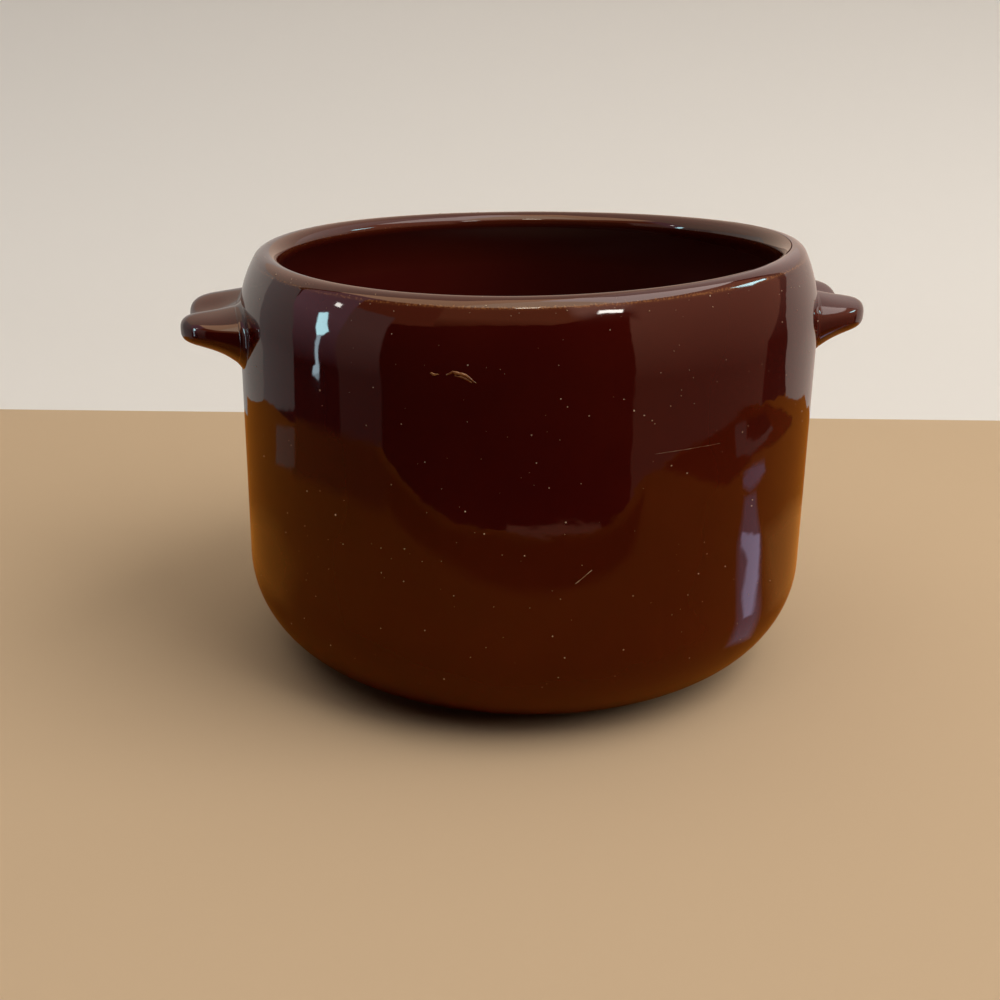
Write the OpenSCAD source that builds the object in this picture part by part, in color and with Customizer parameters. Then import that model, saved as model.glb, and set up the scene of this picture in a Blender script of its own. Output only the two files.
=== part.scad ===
// Stoneware bean pot with a rolled-in shoulder, a round lip and two luted lug handles.
// The pot stands on the XY plane with its axis on Z, and the lugs lie along the X axis.

/* [Pot] */
// Outer diameter of the straight wall
pot_od = 178; // [150:1:220]
// Height from the table to the top of the lip
pot_h = 129; // [110:1:170]
// Thickness of the wall, shoulder and lip
wall_t = 8.4; // [6:0.2:11]
// Thickness of the floor
floor_t = 9; // [6:0.5:14]
// Radius of the rounded heel between the wall and the foot
heel_r = 31; // [20:1:40]
// Radius of the corner between the wall and the floor, inside
inner_heel_r = 22; // [12:1:32]

/* [Shoulder] */
// Radius of the shoulder, along the middle of the wall
shoulder_r = 36; // [16:1:50]
// How far the lip leans in from the wall
lip_inset = 4.4; // [2:0.2:10]

/* [Foot] */
// Height of the dry foot ring
foot_h = 1.6; // [0.8:0.1:4]
// Width of the foot ring
foot_w = 8; // [4:0.5:14]
// Step from the end of the heel curve in to the foot ring
foot_step = 1.5; // [0.5:0.1:4]
// Chamfer on both edges of the foot ring
foot_chamfer = 0.5; // [0.2:0.1:0.7]

/* [Lugs] */
// Drop from the top of the lip to the top of a lug at the wall
lug_drop = 14.4; // [10:0.2:40]
// How far a lug stands out from the wall
lug_reach = 18.5; // [12:0.5:30]
// Angle by which both lugs are set back from the line through the pot's axis
lug_set_back = 3; // [0:0.5:8]
// Width of a lug at the wall
lug_root_w = 53; // [44:1:70]
// Width of a lug across its lobes
lug_tip_w = 50; // [38:1:60]
// Height of a lug at the wall
lug_root_h = 20; // [16:0.5:32]
// Thickness of the lobes
lug_tip_t = 13; // [8:0.5:15]
// How far the lobes dip below the top of the lug at the wall
lug_dip = 1.7; // [0:0.1:4]
// Distance between the crests of the two lobes
crest_gap = 32; // [24:1:36]
// Depth of the thumb groove between the crests
groove_d = 4; // [1:0.2:5]
// Depth of the notch in the outer edge between the lobes
notch_d = 2.8; // [0:0.1:5]

/* [Slip joints] */
// Thickness of the slip between a lug and the wall
slip_t = 0.6; // [0.3:0.1:1.5]
// Reach of the slip fillet along the wall
slip_fillet = 1.6; // [0.8:0.1:3]
// Clearance between the slip and the round wall
seat_gap = 0.03; // [0.01:0.01:0.1]

/* [Hidden] */
$fn = 128;

GLAZE_BROWN = [0.27, 0.09, 0.05];
SLIP_BROWN = [0.22, 0.07, 0.04];

// Levels and radii of the pot
pot_r = pot_od / 2;
hollow_r = pot_r - wall_t;
floor_z = foot_h + floor_t;
heel_z = foot_h + heel_r;
foot_out_r = pot_r - heel_r - foot_step;
foot_in_r = foot_out_r - foot_w;

// The shoulder is an arc that bends the middle of the wall in to the centre of the round lip
shoulder_bend = acos(1 - lip_inset / shoulder_r);
lip_r = wall_t / 2;
lip_x = pot_r - lip_r - lip_inset;
lip_z = pot_h - lip_r;
shoulder_x = pot_r - lip_r - shoulder_r;
shoulder_z = lip_z - shoulder_r * sin(shoulder_bend);
shoulder_out_r = shoulder_r + lip_r;

// Levels of the lugs
lug_top_z = pot_h - lug_drop;
lug_mid_z = lug_top_z - lug_root_h / 2;

// How square the lug's outline on the wall is, and how blunt its nose: 1 is an ellipse
OUTLINE_POWER = 0.75;
NOSE_POWER = 0.6;
// How quickly the underside and the thumb groove sweep into the wall
COVE_POWER = 2.5;
SWEEP_POWER = 4;

// Points round a lug, rings along its reach, rings on its seat, and steps across the fillet
TURNS = 56;
REACH_RINGS = 16;
SEAT_RINGS = 6;
FILLET_STEPS = 3;
// Crowds the rings along the reach towards the wall, where the lug bends most
RING_EASE = 1.8;
// Angle to each side over which the outline's direction is taken
TANGENT_STEP = 1;

// Cross-section of the pot, to the right of its axis

// The straight wall and the rounded heel, filled in to the axis
module outer_outline() {
    translate([0, foot_h]) square([pot_r - heel_r, shoulder_z - foot_h]);
    translate([0, heel_z]) square([pot_r, shoulder_z - heel_z]);
    translate([pot_r - heel_r, heel_z]) circle(r = heel_r);
}

// The shoulder, filled in from straight down in the wall up to the lip
module shoulder_outline() {
    far = 2 * shoulder_out_r;
    translate([shoulder_x, shoulder_z])
        intersection() {
            circle(r = shoulder_out_r);
            polygon([[0, 0], [0, -far], [far, -far], far * [cos(shoulder_bend), sin(shoulder_bend)]]);
        }
}

// The hollow inside the wall and the shoulder, open at the top
module hollow_outline() {
    corner_z = floor_z + inner_heel_r;
    translate([0, floor_z]) square([hollow_r - inner_heel_r, pot_h - floor_z]);
    translate([0, corner_z]) square([hollow_r, shoulder_z - corner_z]);
    translate([hollow_r - inner_heel_r, corner_z]) circle(r = inner_heel_r);
    translate([shoulder_x, shoulder_z]) circle(r = shoulder_r - lip_r);
}

// The foot ring, chamfered below and let into the floor above
module foot_outline() {
    top = foot_h + floor_t / 2;
    polygon([
        [foot_in_r, top],
        [foot_in_r, foot_chamfer],
        [foot_in_r + foot_chamfer, 0],
        [foot_out_r - foot_chamfer, 0],
        [foot_out_r, foot_chamfer],
        [foot_out_r, top]
    ]);
}

module pot_outline() {
    difference() {
        union() {
            outer_outline();
            shoulder_outline();
        }
        hollow_outline();
    }
    translate([lip_x, lip_z]) circle(r = lip_r);
    foot_outline();
}

// Shape of a lug on the +X side

// A power that keeps its sign
function signed_pow(x, power) = sign(x) * pow(abs(x), power);

// Outer radius of the pot at a height
function wall_radius(z) =
    z <= shoulder_z ? pot_r : shoulder_x + sqrt(pow(shoulder_out_r, 2) - pow(z - shoulder_z, 2));

// A point that stands off from the wall, at a distance sideways and a height
function off_wall(side, z, off) = [sqrt(pow(wall_radius(z), 2) - side * side) + off, side, z];

// 1 in the middle of the thumb groove, falling to 0 at the crests
function valley(side) = abs(side) < crest_gap / 2 ? (1 + cos(360 * side / crest_gap)) / 2 : 0;

// Share of the reach, and of the section that is left there, at a step from 0 at the wall to 1
function lift(step) = 90 * pow(step, RING_EASE);
function out_share(step) = pow(sin(lift(step)), NOSE_POWER);
function kept_share(step) = pow(cos(lift(step)), NOSE_POWER);

// Half of the width, and half of the thickness, at a share of the reach
function half_width(out) = (lug_root_w + (lug_tip_w - lug_root_w) * out) / 2;
function half_thick(out) = (lug_tip_t + (lug_root_h - lug_tip_t) * pow(1 - out, COVE_POWER)) / 2;

// A point of the lug: turn runs round it, and step runs from the wall to its nose
function lug_point(turn, step) =
    let (
        out = out_share(step),
        across = signed_pow(cos(turn), OUTLINE_POWER) * kept_share(step),
        upward = signed_pow(sin(turn), OUTLINE_POWER) * kept_share(step),
        side = half_width(out) * across,
        groove = groove_d * valley(side) * (1 - pow(1 - out, SWEEP_POWER)) * (1 + upward) / 2,
        z = lug_top_z - lug_dip * out * out - half_thick(out) * (1 - upward) - groove
    )
    off_wall(side, z, slip_t + out * (lug_reach - slip_t - notch_d * valley(side)));

// A point of the outline of the lug's root, as a distance sideways and a height
function root_point(turn) =
    [
        half_width(0) * signed_pow(cos(turn), OUTLINE_POWER),
        lug_mid_z + half_thick(0) * signed_pow(sin(turn), OUTLINE_POWER)
    ];

// The same point, moved outwards along the wall by the reach of the slip fillet
function fillet_point(turn) =
    let (
        along = root_point(turn + TANGENT_STEP) - root_point(turn - TANGENT_STEP),
        outward = [along[1], -along[0]] / norm(along)
    )
    root_point(turn) + slip_fillet * outward;

function turns() = [for (i = [0:TURNS - 1]) 360 * i / TURNS];

// A ring of the lug at a step of its reach
function lug_ring(step) = [for (turn = turns()) lug_point(turn, step)];

// A ring on the wall, inside the root's outline, at a share of its size and a distance off the wall
function seat_ring(share, off) =
    [for (turn = turns())
        let (p = root_point(turn))
        off_wall(share * p[0], lug_mid_z + share * (p[1] - lug_mid_z), off)];

// A ring of the slip fillet, a hollow curve from the wall at 0 to the lug at 1
function fillet_ring(t) =
    [for (turn = turns())
        let (
            foot = fillet_point(turn),
            low = off_wall(foot[0], foot[1], seat_gap),
            corner = lug_point(turn, 0),
            high = lug_point(turn, 1 / REACH_RINGS)
        )
        pow(1 - t, 2) * low + 2 * t * (1 - t) * corner + t * t * high];

// A closed solid through a row of rings, with a point at each end
module ring_solid(first, rings, last) {
    points = concat([first], [for (ring = rings) each ring], [last]);
    last_index = len(points) - 1;
    last_ring = len(rings) - 1;
    function at(ring, i) = 1 + ring * TURNS + i % TURNS;
    polyhedron(
        points,
        concat(
            [for (i = [0:TURNS - 1]) [0, at(0, i), at(0, i + 1)]],
            [for (k = [0:last_ring - 1], i = [0:TURNS - 1])
                [at(k, i), at(k + 1, i), at(k + 1, i + 1)]],
            [for (k = [0:last_ring - 1], i = [0:TURNS - 1])
                [at(k, i), at(k + 1, i + 1), at(k, i + 1)]],
            [for (i = [0:TURNS - 1]) [last_index, at(last_ring, i + 1), at(last_ring, i)]]
        )
    );
}

// The two-lobed lug, with its back on the slip
module lug() {
    ring_solid(
        off_wall(0, lug_mid_z, slip_t),
        concat(
            [for (k = [1:SEAT_RINGS - 1]) seat_ring(k / SEAT_RINGS, slip_t)],
            [for (k = [0:REACH_RINGS - 1]) lug_ring(k / REACH_RINGS)]
        ),
        lug_point(0, 1)
    );
}

// The layer of slip that a lug sits in, with the fillet that was smoothed round its root
module slip_joint() {
    ring_solid(
        off_wall(0, lug_mid_z, seat_gap),
        concat(
            [for (k = [1:SEAT_RINGS]) seat_ring(k / SEAT_RINGS, seat_gap)],
            [for (k = [0:FILLET_STEPS]) fillet_ring(k / FILLET_STEPS)],
            [for (k = [SEAT_RINGS:-1:1]) seat_ring(k / SEAT_RINGS, slip_t)]
        ),
        off_wall(0, lug_mid_z, slip_t)
    );
}

// The pieces

module pot_body() {
    color(GLAZE_BROWN) rotate_extrude() pot_outline();
}

module right_lug() {
    color(GLAZE_BROWN) rotate([0, 0, lug_set_back]) lug();
}

module left_lug() {
    color(GLAZE_BROWN) rotate([0, 0, 180 - lug_set_back]) lug();
}

module right_slip_joint() {
    color(SLIP_BROWN) rotate([0, 0, lug_set_back]) slip_joint();
}

module left_slip_joint() {
    color(SLIP_BROWN) rotate([0, 0, 180 - lug_set_back]) slip_joint();
}

pot_body();
left_lug();
right_lug();
left_slip_joint();
right_slip_joint();
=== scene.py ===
"""Dresses a brown-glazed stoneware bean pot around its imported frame.

Lengths are in metres in the frame's own axes: +Z up along the pot, +X through the right lug.
"""

from __future__ import annotations

import logging
import math
from collections.abc import Callable, Mapping, Sequence
from dataclasses import dataclass
from enum import Enum

import bpy
from mathutils import Matrix, Vector, noise


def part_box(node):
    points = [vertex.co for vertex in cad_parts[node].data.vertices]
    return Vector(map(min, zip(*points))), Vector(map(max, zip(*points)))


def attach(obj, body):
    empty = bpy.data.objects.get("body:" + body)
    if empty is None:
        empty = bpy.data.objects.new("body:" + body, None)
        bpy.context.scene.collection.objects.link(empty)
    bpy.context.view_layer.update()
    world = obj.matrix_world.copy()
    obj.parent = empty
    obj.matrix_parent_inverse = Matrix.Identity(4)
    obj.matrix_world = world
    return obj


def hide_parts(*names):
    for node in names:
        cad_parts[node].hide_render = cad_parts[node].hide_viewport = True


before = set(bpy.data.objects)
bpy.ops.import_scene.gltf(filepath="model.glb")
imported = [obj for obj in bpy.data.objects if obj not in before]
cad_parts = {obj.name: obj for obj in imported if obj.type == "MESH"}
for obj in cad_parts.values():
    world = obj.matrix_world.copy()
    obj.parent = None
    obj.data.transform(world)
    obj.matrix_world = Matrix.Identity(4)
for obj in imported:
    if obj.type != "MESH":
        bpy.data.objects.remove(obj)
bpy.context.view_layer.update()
LOG = logging.getLogger("bean_pot")

BODY = "root"
THIN_ATTRIBUTE = "glaze_thin"
SOLID_ATTRIBUTE = "card_solid"
NOISE_SEED = 7
MERGE_DISTANCE = 1e-6
CEILING_HEIGHT = 1.74
CEILING_RADIUS = 1.72
CEILING_STEP = 12

Colour = tuple[float, float, float]
Point = tuple[float, float, float]
Span = tuple[float, float]
Ring = list[Vector]
Shell = tuple[list[Vector], list[tuple[int, ...]]]


class Side(Enum):
    """The side of the pot that a lug is on, as the sign of its X."""

    LEFT = -1
    RIGHT = 1

    @property
    def word(self) -> str:
        """The side's word in a piece's name."""
        return self.name.lower()

    def turn(self, set_back: float) -> Matrix:
        """The turn about Z that brings a lug from the +X axis to its place on this side.

        Args:
            set_back: Angle from the X axis towards the back, in radians.

        Returns:
            The turn.
        """
        angle = set_back if self is Side.RIGHT else math.pi - set_back
        return Matrix.Rotation(angle, 3, "Z")


class Slot(Enum):
    """The record's material slots."""

    GLAZE = "brown_glaze"
    SLIP = "fired_slip"


class Socket(Enum):
    """The kinds of sockets that node groups have here."""

    GEOMETRY = "NodeSocketGeometry"
    MATERIAL = "NodeSocketMaterial"
    COLOUR = "NodeSocketColor"
    VECTOR = "NodeSocketVector"
    NUMBER = "NodeSocketFloat"
    COUNT = "NodeSocketInt"


# Small tools for node trees and meshes


@dataclass
class TreeBuilder:
    """Adds nodes to one node tree and joins them up."""

    tree: bpy.types.NodeTree

    def add(self, kind: str, feeds: Mapping[str, object] | None = None,
            **settings: object) -> bpy.types.Node:
        """Adds a node.

        Args:
            kind: The node's type name.
            feeds: Values or output sockets for its inputs, by identifier or name.
            **settings: Properties of the node, set first because they can change its sockets.

        Returns:
            The new node.
        """
        node = self.tree.nodes.new(kind)
        for name, value in settings.items():
            setattr(node, name, value)
        self.feed_all(node, feeds or {})
        return node

    def feed_all(self, node: bpy.types.Node, feeds: Mapping[str, object]) -> None:
        """Feeds a node's inputs.

        Args:
            node: The node.
            feeds: Values or output sockets, by the input's identifier or else by its name.
        """
        by_identifier = {socket.identifier: socket for socket in node.inputs}
        for key, value in feeds.items():
            self.feed(by_identifier.get(key) or node.inputs[key], value)

    def feed(self, socket: bpy.types.NodeSocket, value: object) -> None:
        """Links an output to an input, or sets the input's own value.

        Args:
            socket: The input.
            value: An output socket, a number, a colour, a vector or a data block.
        """
        if isinstance(value, bpy.types.NodeSocket):
            self.tree.links.new(value, socket)
        elif socket.type == "RGBA" and len(value) == 3:
            socket.default_value = (*value, 1.0)
        else:
            socket.default_value = value

    def math(self, operation: str, first: object, second: object = 0.0,
             third: object = 0.0) -> bpy.types.NodeSocket:
        """Adds a Math node.

        Args:
            operation: The node's operation.
            first: Its first value or link.
            second: Its second value or link.
            third: Its third value or link.

        Returns:
            The result's socket.
        """
        feeds = {"Value": first, "Value_001": second, "Value_002": third}
        return self.add("ShaderNodeMath", feeds, operation=operation).outputs[0]

    def product(self, first: object, second: object) -> bpy.types.NodeSocket:
        """Multiplies two values."""
        return self.math("MULTIPLY", first, second)

    def blend(self, share: object, first: object, second: object) -> bpy.types.NodeSocket:
        """Mixes two values: the first where the share is 0, and the second where it is 1."""
        rise = self.product(share, self.math("SUBTRACT", second, first))
        return self.math("ADD", first, rise)

    def place(self) -> bpy.types.NodeSocket:
        """The surface's Object coordinates."""
        return self.add("ShaderNodeTexCoord").outputs["Object"]

    def axes(self, vector: object) -> bpy.types.NodeOutputs:
        """The X, Y and Z of a vector."""
        return self.add("ShaderNodeSeparateXYZ", {"Vector": vector}).outputs

    def end_tree(self, output: str, shape: object, material: object) -> None:
        """Ends a Geometry Nodes tree: smooth, with its instances made real and its material set.

        Args:
            output: The name of the tree's output.
            shape: The geometry.
            material: Its material.
        """
        smooth = self.add("GeometryNodeSetShadeSmooth", {"Geometry": shape}).outputs[0]
        whole = self.add("GeometryNodeRealizeInstances", {"Geometry": smooth}).outputs[0]
        done = self.add("GeometryNodeSetMaterial", {"Geometry": whole, "Material": material}).outputs[0]
        self.add("NodeGroupOutput", {output: done})

    def mix(self, share: object, first: object, second: object) -> bpy.types.NodeSocket:
        """Mixes two colours.

        Args:
            share: How much of the second colour there is.
            first: The colour at 0.
            second: The colour at 1.

        Returns:
            The mixed colour's socket.
        """
        feeds = {"Factor_Float": share, "A_Color": first, "B_Color": second}
        results = self.add("ShaderNodeMix", feeds, data_type="RGBA").outputs
        return next(socket for socket in results if socket.identifier == "Result_Color")

    def ramp(self, value: object, low: float, high: float, to_low: float = 0.0, to_high: float = 1.0,
             smooth: bool = True) -> bpy.types.NodeSocket:
        """Maps a range of values to another and holds it at both ends.

        Args:
            value: The value or link to map.
            low: The value that gives to_low.
            high: The value that gives to_high.
            to_low: The result at low and below.
            to_high: The result at high and above.
            smooth: Eases the ends of the range.

        Returns:
            The mapped value's socket.
        """
        feeds = {"Value": value, "From Min": low, "From Max": high, "To Min": to_low, "To Max": to_high}
        kind = "SMOOTHSTEP" if smooth else "LINEAR"
        return self.add("ShaderNodeMapRange", feeds, interpolation_type=kind).outputs[0]

    def noise(self, vector: object, scale: object, detail: float = 2.0, roughness: float = 0.5,
              seed: object = 0.0) -> bpy.types.NodeSocket:
        """Adds a noise texture with a seed.

        Args:
            vector: The place to read the noise at.
            scale: Waves to a metre.
            detail: Number of finer layers.
            roughness: Strength of the finer layers.
            seed: Place along the noise's fourth axis.

        Returns:
            The socket of the noise's value.
        """
        feeds = {"Vector": vector, "Scale": scale, "Detail": detail, "Roughness": roughness, "W": seed}
        return self.add("ShaderNodeTexNoise", feeds, noise_dimensions="4D").outputs[0]


def new_group(name: str, kind: str, inputs: Mapping[Socket, Sequence[str]],
              outputs: Mapping[Socket, Sequence[str]]) -> bpy.types.NodeTree:
    """Makes an empty node group with named sockets.

    Args:
        name: The group's name.
        kind: The tree's type name.
        inputs: Names of the inputs, by kind of socket.
        outputs: Names of the outputs, by kind of socket.

    Returns:
        The group.
    """
    tree = bpy.data.node_groups.new(name, kind)
    for way, sockets in (("INPUT", inputs), ("OUTPUT", outputs)):
        for socket, names in sockets.items():
            for label in names:
                tree.interface.new_socket(label, in_out=way, socket_type=socket.value)
    return tree


def new_material(name: str) -> tuple[bpy.types.Material, TreeBuilder, bpy.types.Node]:
    """Makes a material with a node tree.

    Args:
        name: The material's name.

    Returns:
        The material, a builder for its tree and its Principled BSDF.
    """
    material = bpy.data.materials.new(name)
    material.use_nodes = True
    return material, TreeBuilder(material.node_tree), material.node_tree.nodes["Principled BSDF"]


def new_piece(name: str, mesh: bpy.types.Mesh) -> bpy.types.Object:
    """Puts a mesh into the scene as a piece at the origin.

    Args:
        name: The piece's name.
        mesh: Its mesh, in place.

    Returns:
        The new object.
    """
    piece = bpy.data.objects.new(name, mesh)
    bpy.context.scene.collection.objects.link(piece)
    return piece


def run_nodes(piece: bpy.types.Object, tree: bpy.types.NodeTree, values: Mapping[str, object]) -> None:
    """Shapes a piece by a Geometry Nodes tree and leaves a plain mesh.

    Args:
        piece: The object whose mesh the tree starts from.
        tree: The Geometry Nodes tree.
        values: Values for its inputs, by name.
    """
    modifier = piece.modifiers.new(tree.name, "NODES")
    modifier.node_group = tree
    for item in tree.interface.items_tree:
        if item.in_out == "INPUT" and item.name in values:
            modifier[item.identifier] = values[item.name]
    depsgraph = bpy.context.evaluated_depsgraph_get()
    shaped = piece.evaluated_get(depsgraph)
    mesh = bpy.data.meshes.new_from_object(shaped, preserve_all_data_layers=True, depsgraph=depsgraph)
    piece.modifiers.remove(modifier)
    piece.data = mesh
    mesh.name = piece.name


def ring_shell(first: Vector, rings: Sequence[Ring], last: Vector) -> Shell:
    """Closes a row of rings with a point at each end.

    Args:
        first: The point before the first ring.
        rings: Rings of equal length, turning left about the way from first to last.
        last: The point after the last ring.

    Returns:
        The closed shell's points and faces.
    """
    count = len(rings[0])
    points = [first, *(point for ring in rings for point in ring), last]
    end = len(points) - 1

    def at(ring: int, place: int) -> int:
        """The index of a ring's point."""
        return 1 + ring * count + place % count

    faces: list[tuple[int, ...]] = [(0, at(0, i + 1), at(0, i)) for i in range(count)]
    for k in range(len(rings) - 1):
        faces += [(at(k, i), at(k, i + 1), at(k + 1, i + 1), at(k + 1, i)) for i in range(count)]
    faces += [(end, at(len(rings) - 1, i), at(len(rings) - 1, i + 1)) for i in range(count)]
    return points, faces


def shell_piece(name: str, shells: Sequence[Shell], finish: bpy.types.Material) -> bpy.types.Object:
    """Makes one smooth piece of closed shells.

    Args:
        name: The piece's name.
        shells: The shells.
        finish: Its material.

    Returns:
        The piece.
    """
    points: list[Vector] = []
    faces: list[tuple[int, ...]] = []
    for shell_points, shell_faces in shells:
        faces += [tuple(len(points) + index for index in face) for face in shell_faces]
        points += shell_points
    mesh = bpy.data.meshes.new(name)
    mesh.from_pydata(points, [], faces)
    mesh.validate()
    mesh.shade_smooth()
    mesh.materials.append(finish)
    return new_piece(name, mesh)


# Shapes that the pieces share


@dataclass(frozen=True)
class PotShape:
    """Sizes of the pot, which every piece on it follows."""

    radius: float
    height: float
    wall: float = 0.0084
    floor: float = 0.009
    heel: float = 0.031
    inner_heel: float = 0.022
    shoulder: float = 0.036
    lip_inset: float = 0.0044
    foot_height: float = 0.0016
    foot_width: float = 0.008
    foot_step: float = 0.0015
    foot_edge: float = 0.0005
    lean: Span = (0.0212, -0.0242)
    saddle: Span = (0.105, -0.085)
    lean_from: float = 0.060
    lean_power: float = 3.0

    @classmethod
    def from_frame(cls) -> PotShape:
        """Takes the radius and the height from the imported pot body."""
        low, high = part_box("pot_body")
        return cls(radius=(high.x - low.x) / 2, height=high.z)

    @property
    def lip(self) -> float:
        """Radius of the round lip."""
        return self.wall / 2

    @property
    def bend(self) -> float:
        """Angle of the shoulder's arc, in radians."""
        return math.acos(1 - self.lip_inset / self.shoulder)

    @property
    def lip_centre(self) -> Span:
        """Radius and height of the middle of the lip."""
        return self.radius - self.lip - self.lip_inset, self.height - self.lip

    @property
    def shoulder_centre(self) -> Span:
        """Radius and height of the centre of the shoulder's arc."""
        middle = self.radius - self.lip - self.shoulder
        return middle, self.lip_centre[1] - self.shoulder * math.sin(self.bend)

    def wall_radius(self, z: float) -> float:
        """The outer radius above the heel.

        Args:
            z: Height.

        Returns:
            The radius at that height.
        """
        middle, start = self.shoulder_centre
        if z <= start:
            return self.radius
        return middle + math.sqrt((self.shoulder + self.lip) ** 2 - (z - start) ** 2)

    def off_wall(self, side: float, z: float, off: float) -> Vector:
        """A point on the +X side that stands off from the wall.

        Args:
            side: Distance sideways.
            z: Height.
            off: Distance out from the wall along X.

        Returns:
            The point.
        """
        return Vector((math.sqrt(self.wall_radius(z) ** 2 - side * side) + off, side, z))

    def on_wall(self, turn: float, z: float, off: float) -> Vector:
        """A point at an angle and a height on the wall.

        Args:
            turn: Angle about the axis from +X, in radians.
            z: Height.
            off: Distance out from the wall.

        Returns:
            The point, leaned as the pot is.
        """
        reach = self.wall_radius(z) + off
        return self.leaned(Vector((reach * math.cos(turn), reach * math.sin(turn), z)))

    def leaned(self, point: Vector) -> Vector:
        """Moves a point as the kiln let the rim lean and sag.

        Args:
            point: The point on the true pot.

        Returns:
            The point on the leaning pot.
        """
        share = max(0.0, (point.z - self.lean_from) / (self.height - self.lean_from))
        rise = self.lean[0] * point.x + self.lean[1] * point.y
        rise += self.saddle[0] * (point.x ** 2 - point.y ** 2) + self.saddle[1] * 2 * point.x * point.y
        return point + Vector((0.0, 0.0, rise * share ** self.lean_power))


@dataclass(frozen=True)
class LugShape:
    """Sizes of a lug handle and of the slip that holds it."""

    pot: PotShape
    drop: float = 0.0144
    reach: float = 0.0185
    set_back: float = math.radians(3.0)
    root_width: float = 0.053
    tip_width: float = 0.050
    root_height: float = 0.020
    tip_thickness: float = 0.013
    dip: float = 0.0017
    crest_gap: float = 0.032
    groove: float = 0.004
    notch: float = 0.0028
    groove_at_wall: float = 0.75
    crest_sag: float = 0.0012
    slip: float = 0.0006
    fillet: float = 0.0016
    fillet_climb: float = math.radians(0.61)
    outline_power: float = 0.75
    nose_power: float = 0.6
    cove_power: float = 2.5
    sweep_power: float = 4.0

    @property
    def top(self) -> float:
        """Height of the top of the lug at the wall."""
        return self.pot.height - self.drop

    @property
    def middle(self) -> float:
        """Height of the middle of the lug's root."""
        return self.top - self.root_height / 2

    def outline(self, turn: float) -> Span:
        """A point of the rounded outline of a section, within -1 to 1 each way.

        Args:
            turn: Direction of the point, in radians.

        Returns:
            The point's share across and upwards.
        """
        power = 2 / self.outline_power
        across, upward = math.cos(turn), math.sin(turn)
        size = (abs(across) ** power + abs(upward) ** power) ** (1 / power)
        return across / size, upward / size

    def valley(self, side: float) -> float:
        """The share of the thumb groove's depth.

        Args:
            side: Distance sideways from its middle.

        Returns:
            1 in its middle, falling to 0 at the crests.
        """
        if abs(side) >= self.crest_gap / 2:
            return 0.0
        return (1 + math.cos(math.tau * side / self.crest_gap)) / 2

    def half_width(self, out: float) -> float:
        """Half of the lug's width at a share of its reach."""
        return (self.root_width + (self.tip_width - self.root_width) * out) / 2

    def half_thick(self, out: float) -> float:
        """Half of the lug's thickness at a share of its reach."""
        swell = (self.root_height - self.tip_thickness) * (1 - out) ** self.cove_power
        return (self.tip_thickness + swell) / 2

    def point(self, turn: float, lift: float) -> Vector:
        """A point of a lug on the +X side.

        Args:
            turn: Direction round the lug, in radians.
            lift: From 0 at the wall to a right angle at the nose.

        Returns:
            The point.
        """
        out = math.sin(lift) ** self.nose_power
        kept = max(math.cos(lift), 0.0) ** self.nose_power
        across, upward = (kept * share for share in self.outline(turn))
        side = self.half_width(out) * across
        valley = self.valley(side)
        sweep = 1 - (1 - self.groove_at_wall) * (1 - out) ** self.sweep_power
        pressed = self.groove * valley * sweep + self.crest_sag * math.sin(math.pi * out)
        z = self.top - self.dip * out * out - self.half_thick(out) * (1 - upward)
        z -= pressed * (1 + upward) / 2
        return self.pot.off_wall(side, z, self.slip + out * (self.reach - self.slip - self.notch * valley))

    def root(self, turn: float, share: float = 1.0, spread: float = 0.0) -> Span:
        """A point of the root's outline on the wall.

        Args:
            turn: Direction of the point, in radians.
            share: Size of the outline.
            spread: Distance outwards from the outline.

        Returns:
            Distance sideways and height.
        """
        across, upward = self.outline(turn)
        side = self.half_width(0) * across
        pressed = self.groove * self.groove_at_wall * self.valley(side) * (1 + upward) / 2
        side, rise = share * side, share * (self.half_thick(0) * upward - pressed)
        slope = 2 / self.outline_power - 1
        out = Vector((math.copysign(abs(across) ** slope, across) / self.half_width(0),
                      math.copysign(abs(upward) ** slope, upward) / self.half_thick(0))).normalized()
        return side + spread * out.x, self.middle + rise + spread * out.y


# Finishes


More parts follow.
